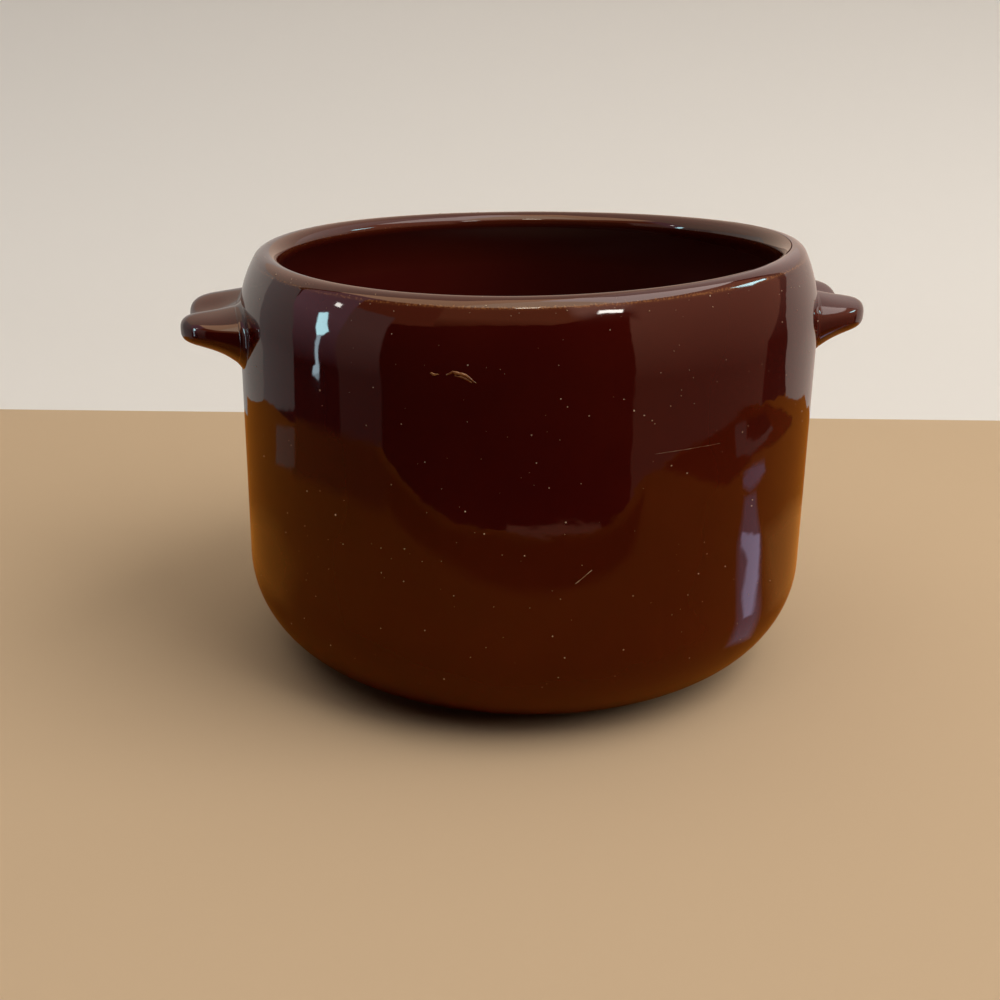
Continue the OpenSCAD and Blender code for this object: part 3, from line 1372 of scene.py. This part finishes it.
@dataclass(frozen=True)
class MirrorCard:
    """A glowing card that the glaze mirrors and that lights nothing: a painted reflection."""

    name: str
    corners: tuple[Point, ...]
    radiance: float
    colour: Colour
    foot: float = 1.0
    fade: Span = (0.0, 1.0)
    soft: float = 0.0

    @staticmethod
    def ray(radius: float, turn: float) -> Span:
        """X and Y at a distance from the pot's axis and an azimuth in degrees."""
        return radius * math.cos(math.radians(turn)), radius * math.sin(math.radians(turn))

    @classmethod
    def upright(cls, name: str, radius: float, spots: Sequence[Span], radiance: float, colour: Colour,
                foot: float = 1.0, fade: Span = (0.0, 1.0), soft: float = 0.0) -> MirrorCard:
        """A card that stands round the pot.

        Args:
            name: Its name.
            radius: Its distance from the pot's axis.
            spots: Its corners, as azimuth in degrees and height.
            radiance: Its brightness.
            colour: Its colour.
            foot: The share of its brightness below the fade.
            fade: The heights between which it brightens.
            soft: The width of its soft edge.

        Returns:
            The card.
        """
        corners = tuple((*cls.ray(radius, turn), z) for turn, z in spots)
        return cls(name, corners, radiance, colour, foot, fade, soft)

    @classmethod
    def overhead(cls, name: str, start: int, end: int, radiance: float, colour: Colour) -> MirrorCard:
        """A sector of the ceiling.

        Args:
            name: Its name.
            start: Azimuth of its first edge, in degrees.
            end: Azimuth of its last edge, in degrees.
            radiance: Its brightness.
            colour: Its colour.

        Returns:
            The card.
        """
        turns = range(start, end + 1, CEILING_STEP)
        spots = [(0.0, 0.0), *(cls.ray(CEILING_RADIUS, turn) for turn in turns)]
        return cls.flat(name, CEILING_HEIGHT, spots, radiance, colour)

    @classmethod
    def flat(cls, name: str, height: float, spots: Sequence[Span], radiance: float, colour: Colour,
             soft: float = 0.0) -> MirrorCard:
        """A level card, as where light lies on the floor.

        Args:
            name: Its name.
            height: Its height.
            spots: Its corners in X and Y.
            radiance: Its brightness.
            colour: Its colour.
            soft: The width of its soft edge.

        Returns:
            The card.
        """
        return cls(name, tuple((x, y, height) for x, y in spots), radiance, colour, soft=soft)

    def faded_rim(self) -> list[Vector]:
        """The outer ends of the card's soft edge.

        Returns:
            A point beside each corner.
        """
        points = [Vector(corner) for corner in self.corners]
        nexts = [*points[1:], points[0]]
        facing = sum((here.cross(after) for here, after in zip(points, nexts)), Vector()).normalized()
        sides = [(after - here).cross(facing).normalized() for here, after in zip(points, nexts)]
        return [here + (sides[i] + sides[i - 1]).normalized() * self.soft for i, here in enumerate(points)]

    def make_glow(self) -> bpy.types.Material:
        """Makes the card's material.

        Returns:
            The material.
        """
        material, build, shader = new_material(self.name)
        height = build.axes(build.place())["Z"]
        glow = build.ramp(height, *self.fade, self.foot * self.radiance, self.radiance, smooth=False)
        solid = build.add("ShaderNodeAttribute", attribute_name=SOLID_ATTRIBUTE).outputs["Fac"]
        build.feed_all(shader, {"Base Color": (0.0, 0.0, 0.0), "Specular IOR Level": 0.0,
                                "Emission Color": self.colour, "Emission Strength": glow, "Alpha": solid})
        return material

    def build(self) -> None:
        """Sets up the card."""
        mesh = bpy.data.meshes.new(self.name)
        count = len(self.corners)
        rim = self.faded_rim() if self.soft else []
        faces = [tuple(range(count))]
        faces += [(i, i + count, (i + 1) % count + count, (i + 1) % count) for i in range(len(rim))]
        mesh.from_pydata([*self.corners, *rim], [], faces)
        solid = mesh.attributes.new(SOLID_ATTRIBUTE, "FLOAT", "POINT")
        for i, value in enumerate(solid.data):
            value.value = 1.0 if i < count else 0.0
        mesh.materials.append(self.make_glow())
        piece = new_piece(self.name, mesh)
        piece.visible_camera = piece.visible_diffuse = piece.visible_shadow = False
        piece.visible_transmission = piece.visible_volume_scatter = False


@dataclass(frozen=True)
class PhotoCamera:
    """A camera at the photograph's place, in the pot's own frame."""

    lens: float = 51.32
    sensor: float = 36.0
    turn: float = math.radians(7.3)
    pitch: float = math.radians(20.211)
    roll: float = math.radians(0.65)
    aside: float = -0.00799
    distance: float = 0.43957
    height: float = 0.20664

    def build(self) -> None:
        """Sets up the camera and makes it the scene's own."""
        data = bpy.data.cameras.new("photo_camera")
        data.lens, data.sensor_width = self.lens, self.sensor
        camera = bpy.data.objects.new("photo_camera", data)
        bpy.context.scene.collection.objects.link(camera)
        spin = Matrix.Rotation(-self.turn, 4, "Z")
        place = spin @ Vector((self.aside, -self.distance, self.height))
        look = spin @ Matrix.Rotation(math.pi / 2 - self.pitch, 4, "X") @ Matrix.Rotation(self.roll, 4, "Z")
        camera.matrix_world = Matrix.Translation(place) @ look
        bpy.context.scene.camera = camera


def panel(turns: Span, heights: Span) -> list[Span]:
    """The corners of an upright card that is cut square.

    Args:
        turns: Azimuths of its sides, in degrees.
        heights: Heights of its lower and upper edge.

    Returns:
        The corners, as azimuth and height.
    """
    (start, end), (low, high) = turns, heights
    return [(start, low), (end, low), (end, high), (start, high)]


# Painted reflections that the glaze mirrors: each card's place and corners, then its brightness and colour
CEILING = (
    MirrorCard.overhead("ceiling_left", 60, 228, 3.0, (1.0, 0.61, 0.37)),
    MirrorCard.overhead("ceiling_front", 228, 300, 3.4, (1.0, 0.71, 0.49)),
    MirrorCard.overhead("ceiling_right", 300, 420, 3.8, (1.0, 0.83, 0.77)),
)
WALLS = (
    MirrorCard.upright("front_amber", 1.75, (
        (-136.0, 0.93), (-90.0, 1.10), (-90.0, 1.74), (-136.0, 1.74),
    ), 0.82, (1.0, 0.34, 0.15), foot=0.25, fade=(0.95, 1.2)),
    MirrorCard.upright("front_amber_end", 1.75, (
        (-90.0, 1.10), (-64.0, 1.14), (-64.0, 1.74), (-90.0, 1.74),
    ), 0.82, (1.0, 0.34, 0.15), foot=0.25, fade=(0.95, 1.2)),
    MirrorCard.upright("left_amber", 1.75, (
        (-176.0, 0.60), (-136.0, 0.93), (-136.0, 1.74), (-176.0, 1.74),
    ), 0.56, (1.0, 0.28, 0.13), foot=0.3, fade=(0.60, 0.90)),
    MirrorCard.upright("front_pale", 1.62, (
        (-75.0, 1.13), (-59.0, 1.04), (-59.0, 1.63), (-80.0, 1.63),
    ), 1.7, (1.0, 0.50, 0.36), foot=0.08, fade=(1.08, 1.29), soft=0.24),
    MirrorCard.upright("right_wall_far", 1.8, (
        (-57.5, -0.75), (-25.0, -0.75), (3.0, -0.75), (1.5, -0.07), (7.5, 0.12), (12.5, 0.29),
        (18.0, 0.48), (18.0, 1.74), (-20.0, 1.74), (-57.0, 1.74), (-60.0, 0.6),
    ), 1.0, (1.0, 0.45, 0.29), foot=0.28, fade=(-0.30, 1.10), soft=0.03),
    MirrorCard.upright("right_dark", 1.85, panel((0.0, 24.0), (-0.75, 1.2)),
                       0.30, (1.0, 0.60, 0.45), foot=0.15, fade=(-0.10, 0.60)),
    MirrorCard.upright("right_wall_near", 0.33, (
        (8.4, 0.016), (30.0, 0.010), (44.0, -0.01), (62.0, -0.08), (62.0, 0.18), (12.6, 0.174),
        (7.2, 0.152), (3.8, 0.115), (5.8, 0.035),
    ), 0.78, (1.0, 0.78, 0.66), foot=0.78, fade=(0.03, 0.15)),
    MirrorCard.upright("right_wall_top", 0.33, (
        (12.6, 0.174), (62.0, 0.18), (62.0, 1.2), (14.0, 1.2),
    ), 1.05, (1.0, 0.81, 0.73), foot=0.78, fade=(0.18, 0.25)),
    MirrorCard.upright("back_wall", 0.30, panel((62.0, 102.0), (-0.08, 1.2)), 0.74, (1.0, 0.74, 0.57)),
    MirrorCard.upright("left_wall", 0.30, (
        (102.0, -0.08), (122.0, -0.08), (128.0, 0.010), (151.1, 0.018), (153.0, 0.038), (154.9, 0.100),
        (151.0, 0.132), (149.0, 0.20), (102.0, 0.20),
    ), 0.62, (1.0, 0.90, 0.81), foot=0.60, fade=(0.03, 0.14)),
    MirrorCard.upright("left_wall_top", 0.30, (
        (102.0, 0.20), (149.0, 0.20), (166.0, 0.22), (166.0, 1.2), (102.0, 1.2),
    ), 0.84, (1.0, 0.74, 0.58), foot=0.80, fade=(0.20, 0.27)),
    MirrorCard.upright("left_grey", 0.302, (
        (150.0, 0.018), (173.5, 0.022), (174.2, 0.036), (175.9, 0.071), (174.3, 0.141), (170.2, 0.177),
        (168.0, 0.22), (148.0, 0.22),
    ), 0.44, (1.0, 0.92, 0.88), foot=0.60, fade=(0.08, 0.20)),
    MirrorCard.upright("left_shade", 1.6, panel((158.0, 188.0), (-0.75, 1.74)),
                       0.62, (1.0, 0.58, 0.70), foot=0.04, fade=(-0.25, 0.55)),
    MirrorCard.upright("left_pale", 1.59, panel((188.0, 206.5), (-0.75, 0.9)),
                       0.50, (1.0, 0.60, 0.52), foot=0.28, fade=(-0.30, 0.50), soft=0.03),
)
# Painted highlights: cards that the glaze mirrors as lamps and windows, though they light nothing
LAMP_HIGHLIGHTS = (
    MirrorCard.upright("right_highlight", 1.5, (
        (-8.6, 0.86), (-5.7, 0.765), (1.8, 0.655), (11.7, 0.62), (11.5, 0.72), (3.5, 0.80), (-3.0, 0.84),
    ), 12.0, (0.55, 0.93, 1.0), soft=0.02),
    MirrorCard.upright("left_highlight", 1.5, (
        (177.6, 0.206), (179.1, 0.222), (181.9, 0.315), (177.9, 0.574), (174.2, 0.521),
    ), 12.0, (0.55, 0.92, 1.0), soft=0.02),
    MirrorCard.upright("left_strip", 1.5, (
        (174.6, -0.282), (177.6, -0.282), (177.9, -0.25), (179.1, 0.24), (177.8, 0.23), (176.9, -0.25),
    ), 5.0, (0.66, 0.88, 1.0), soft=0.02),
    MirrorCard.upright("lip_highlight", 1.5, (
        (-70.5, 1.11), (-61.5, 1.053), (-60.8, 1.108), (-70.0, 1.168),
    ), 22.0, (1.0, 0.95, 0.88), soft=0.02),
    MirrorCard.upright("sparkle_highlight", 1.58, panel((-106.4, -95.6), (1.60, 1.68)), 26.0, (1.0, 0.90, 0.72)),
    MirrorCard.upright("spot_highlight", 1.37, panel((178.7, 181.3), (0.68, 0.745)), 14.0, (1.0, 0.95, 0.88)),
)
# Painted shade, pools of light and glints on the floor, which only the glaze mirrors
FLOOR_LIGHT_AND_SHADE = (
    MirrorCard.flat("floor_dusk", 0.0020, (
        (-0.246, -0.186), (-0.141, -0.212), (-0.078, -0.237), (0.015, -0.249), (0.060, -0.240),
        (0.112, -0.240), (0.150, -0.252), (0.095, -0.210), (-0.011, -0.206), (-0.120, -0.194),
        (-0.220, -0.164),
    ), 0.19, (1.0, 0.30, 0.04), soft=0.012),
    MirrorCard.flat("floor_edge", 0.0024, (
        (-0.060, -0.253), (0.015, -0.258), (0.070, -0.251), (0.070, -0.254), (0.015, -0.263),
        (-0.060, -0.258),
    ), 0.50, (1.0, 0.40, 0.24), soft=0.006),
    MirrorCard.flat("floor_dusk_left", 0.0020, (
        (-0.345, 0.042), (-0.342, -0.031), (-0.327, -0.105), (-0.298, -0.164), (-0.240, -0.184),
        (-0.222, -0.150), (-0.262, -0.096), (-0.274, -0.034), (-0.275, 0.025),
    ), 0.20, (1.0, 0.33, 0.08), soft=0.018),
    MirrorCard.flat("floor_dusk_right", 0.0020, (
        (0.203, -0.250), (0.248, -0.232), (0.288, -0.199), (0.345, -0.138), (0.370, -0.112),
        (0.378, -0.080), (0.378, -0.022), (0.358, 0.042), (0.322, 0.094), (0.312, 0.085),
        (0.313, -0.020), (0.302, -0.066), (0.255, -0.122), (0.236, -0.200),
    ), 0.20, (1.0, 0.24, 0.05), soft=0.008),
    MirrorCard.flat("floor_dark_right", 0.0022, (
        (0.352, -0.090), (0.365, -0.026), (0.342, -0.004), (0.329, -0.026), (0.322, -0.064),
        (0.322, -0.086),
    ), 0.07, (1.0, 0.40, 0.20), soft=0.005),
    MirrorCard.flat("floor_pale_right", 0.0024, (
        (0.337, -0.126), (0.346, -0.096), (0.319, -0.088), (0.318, -0.064), (0.338, -0.002),
        (0.331, 0.003), (0.304, -0.068), (0.294, -0.109),
    ), 0.28, (1.0, 0.56, 0.44), soft=0.003),
    MirrorCard.flat("floor_light_right", 0.0018, (
        (0.190, -0.020), (0.185, 0.035), (0.165, 0.065), (0.130, 0.085), (0.105, 0.085), (0.120, 0.030),
        (0.125, -0.020),
    ), 0.63, (1.0, 0.37, 0.07), soft=0.030),
    MirrorCard.flat("floor_light_left", 0.0018, (
        (-0.110, 0.085), (-0.125, 0.045), (-0.135, 0.005), (-0.165, 0.005), (-0.175, 0.045),
        (-0.150, 0.080), (-0.125, 0.095),
    ), 0.42, (1.0, 0.34, 0.045), soft=0.035),
    MirrorCard.flat("floor_pale_left", 0.0024, (
        (-0.303, 0.105), (-0.327, 0.049), (-0.276, 0.033), (-0.257, 0.081),
    ), 0.30, (1.0, 0.60, 0.42), soft=0.010),
    MirrorCard.flat("floor_glint", 0.0030, (
        (0.1965, -0.0750), (0.1955, -0.0440), (0.1767, -0.0455), (0.1527, -0.0485), (0.1356, -0.0545),
        (0.1180, -0.0590), (0.1150, -0.0640), (0.1406, -0.0665), (0.1560, -0.0640), (0.1720, -0.0610),
        (0.1800, -0.0660), (0.1850, -0.0740),
    ), 1.6, (0.82, 0.70, 1.0), soft=0.005),
    MirrorCard.flat("floor_glint_spur", 0.0026, (
        (0.2391, -0.0740), (0.2453, -0.0550), (0.1900, -0.0450), (0.0850, -0.0560), (0.0800, -0.0640),
        (0.1900, -0.0760),
    ), 0.50, (1.0, 0.62, 0.72), soft=0.010),
    MirrorCard.flat("floor_glint_far", 0.0026, (
        (0.258, -0.080), (0.266, -0.082), (0.279, -0.060), (0.284, -0.030), (0.277, -0.028),
        (0.266, -0.048), (0.257, -0.066),
    ), 0.55, (1.0, 0.66, 0.84), soft=0.008),
)


@dataclass
class Studio:
    """The board, the paper behind it, the lamps and what the glaze mirrors."""

    turn: float
    # The board shows the glaze a deeper honey tone than the camera sees: a painted reflection
    board: StagePaint = StagePaint("stage_board", (0.70, 0.52, 0.34), (0.47, 0.160, 0.021), 0.45)
    paper: StagePaint = StagePaint("stage_paper", (0.76, 0.73, 0.69), (0.76, 0.73, 0.69), 0.9, 0.20)
    board_sides: Span = (-0.35, 0.39)
    board_back: float = 0.245
    near_edge: tuple[Span, ...] = (
        (-0.350, 0.030), (-0.345, -0.065), (-0.325, -0.145), (-0.300, -0.188), (-0.238, -0.203),
        (-0.141, -0.231), (-0.078, -0.255), (0.015, -0.268), (0.084, -0.256), (0.112, -0.258),
        (0.161, -0.274), (0.248, -0.244), (0.288, -0.212), (0.314, -0.180), (0.371, -0.124),
        (0.389, -0.083), (0.392, -0.022), (0.388, 0.060),
    )
    far: float = 3.0
    backdrop_distance: float = 0.66
    backdrop_height: float = 1.7
    cove: float = 0.22
    cove_steps: int = 16
    sunk: float = 0.0001
    room: Colour = (0.020, 0.012, 0.010)
    haze: Colour = (0.66, 0.62, 0.57)
    lamps: tuple[Softbox, ...] = (
        Softbox("ceiling_light", 90.0, 90.0, 1.65, 3.0, 0.84, aim=(0.0, -0.05, 0.1)),
        Softbox("key_light", -30.0, 45.0, 2.2, 2.0, 2.45),
    )
    cards: tuple[MirrorCard, ...] = (*CEILING, *WALLS, *LAMP_HIGHLIGHTS, *FLOOR_LIGHT_AND_SHADE)

    def placed(self, x: float, y: float, z: float) -> Point:
        """A point of the stage, turned so that its back edge is level in the photograph."""
        cosine, sine = math.cos(self.turn), math.sin(self.turn)
        return x * cosine + y * sine, y * cosine - x * sine, z

    def board_outline(self) -> list[Point]:
        """The board's outline, uneven at its near edge and level with the photograph at its back.

        Returns:
            Its corners.
        """
        left, right = self.board_sides
        near = [(x, y, 0.0) for x, y in self.near_edge]
        return [self.placed(left, self.board_back, 0.0), *near, self.placed(right, self.board_back, 0.0)]

    @staticmethod
    def sheet(name: str, points: Sequence[Point], faces: Sequence[tuple[int, ...]],
              paint: bpy.types.Material) -> bpy.types.Object:
        """A sheet of the stage.

        Args:
            name: Its name.
            points: Its points.
            faces: Its faces.
            paint: Its material.

        Returns:
            The sheet.
        """
        mesh = bpy.data.meshes.new(name)
        mesh.from_pydata(points, [], faces)
        mesh.materials.append(paint)
        mesh.shade_smooth()
        piece = new_piece(name, mesh)
        return piece

    def build_floor(self) -> None:
        """Lays the board under the pot, and the ground that carries its look on for the camera."""
        paint = self.board.make()
        outline = self.board_outline()
        self.sheet("stage_board", outline, [tuple(range(len(outline)))], paint)
        wide = [(-self.far, -self.far), (self.far, -self.far), (self.far, self.board_back),
                (-self.far, self.board_back)]
        corners = [self.placed(x, y, -self.sunk) for x, y in wide]
        ground = self.sheet("stage_ground", corners, [(0, 1, 2, 3)], paint)
        ground.visible_glossy = ground.visible_diffuse = ground.visible_shadow = False

    def build_backdrop(self) -> None:
        """Lays the paper behind the board and curves it up into a wall."""
        bends = [math.pi / 2 * k / self.cove_steps for k in range(self.cove_steps + 1)]
        rows = [(self.board_back, 0.0)]
        rows += [(self.backdrop_distance - self.cove * (1 - math.sin(a)), self.cove * (1 - math.cos(a)))
                 for a in bends]
        rows.append((self.backdrop_distance, self.backdrop_height))
        points = [self.placed(x, y, z - self.sunk) for y, z in rows for x in (-self.far, self.far)]
        faces = [(2 * k, 2 * k + 1, 2 * k + 3, 2 * k + 2) for k in range(len(rows) - 1)]
        self.sheet("stage_backdrop", points, faces, self.paper.make()).visible_glossy = False

    def build_world(self) -> None:
        """Fills the rest of the room: pale to the camera, and dim for what the glaze mirrors."""
        world = bpy.data.worlds.new("studio_world")
        world.use_nodes = True
        bpy.context.scene.world = world
        build = TreeBuilder(world.node_tree)
        seen = build.add("ShaderNodeLightPath").outputs["Is Camera Ray"]
        background = world.node_tree.nodes["Background"]
        build.feed_all(background, {"Color": build.mix(seen, self.room, self.haze)})

    def build(self) -> None:
        """Sets the stage."""
        self.build_floor()
        self.build_backdrop()
        self.build_world()
        for light in (*self.lamps, *self.cards):
            light.build()
        bpy.context.scene.view_settings.view_transform = "Standard"


def speck(turn: float, z: float, reach: float = 0.16, rise: float = 0.0001) -> WallMark:
    """A short bump in the glaze.

    Args:
        turn: Angle of its middle, in degrees.
        z: Height of its start.
        reach: Angle from its middle to its ends, in degrees.
        rise: Height from its start to its end.

    Returns:
        The mark.
    """
    return WallMark(((turn - reach, z), (turn + reach, z + rise)), 0.0005, 0.00015, stations=6)


WELTS = (
    WallMark(((-111.8, 0.1103), (-110.6, 0.1112), (-109.5, 0.1109), (-108.5, 0.1105), (-107.5, 0.1097),
              (-106.5, 0.1086)), 0.0008, 0.00026, stations=40, wander=0.00016),
    WallMark(((-110.4, 0.1103), (-109.3, 0.1101), (-108.0, 0.1094), (-107.2, 0.1086)), 0.0005, 0.00016,
             stations=30, wander=0.00012),
    WallMark(((-114.6, 0.1105), (-113.8, 0.1103), (-112.8, 0.1103)), 0.0006, 0.00016, wander=0.00014),
)
SCRATCHES = (
    WallMark(((-89.3, 0.0534), (-87.9, 0.0552), (-86.3, 0.0574)), 0.00028, 0.00005),
    WallMark(((-76.3, 0.0885), (-72.2, 0.0886), (-67.0, 0.0886), (-61.4, 0.0884)), 0.00005, 0.000012),
    speck(-80.0, 0.1007), speck(-78.1, 0.0992), speck(-76.6, 0.0976), speck(-87.8, 0.1001),
    speck(-72.4, 0.0846), speck(-134.2, 0.0660), speck(-52.2, 0.0688), speck(-78.6, 0.0484),
)

Part = PotBody | LugHandle | SlipJoint | GlazeMarks | KilnGrit


def main() -> None:
    """Builds the stage and every piece of the pot, in order."""
    logging.basicConfig(level=logging.INFO, format="%(name)s: %(message)s")
    # Without a seed, vector noise changes from run to run
    noise.seed_set(NOISE_SEED)
    camera = PhotoCamera()
    camera.build()
    Studio(camera.turn).build()
    flow, clay = GlazeFlow().make(), DryClay().make()
    glaze = GlazeFinish("brown_glaze", dry_foot=True, inside_roughness=0.30).make(flow, clay)
    lug_glaze = GlazeFinish("lug_glaze", gloss_low=0.07, gloss_high=0.12).make(flow, clay)
    slip = GlazeFinish("fired_slip_glaze", deep=(0.045, 0.0024, 0.0011), gloss_low=0.05,
                       gloss_high=0.09).make(flow, clay)
    welt = GlazeFinish("welt_glaze", deep=(0.17, 0.046, 0.013), warm=(0.34, 0.15, 0.052),
                       cloud_scale=420.0).make(flow, clay)
    grit = GritFinish().make()
    pot = PotShape.from_frame()
    lug = LugShape(pot)

    def put(part: Part, finish: bpy.types.Material) -> bpy.types.Object:
        """Builds a part, ties it to the frame and reports it.

        Args:
            part: The part.
            finish: Its material.

        Returns:
            The piece.
        """
        piece = part.build(finish)
        part.dress(piece)
        LOG.info("%s: %d faces", piece.name, len(piece.data.polygons))
        return piece

    body = put(PotBody(pot), glaze)
    for side in Side:
        put(LugHandle(side, lug), lug_glaze)
        put(SlipJoint(side, lug), slip)
    put(GlazeMarks("glaze_welts", pot, WELTS), welt)
    put(GlazeMarks("glaze_scratches", pot, SCRATCHES), grit)
    put(KilnGrit(pot, body), grit)


if __name__ == "__main__":
    main()
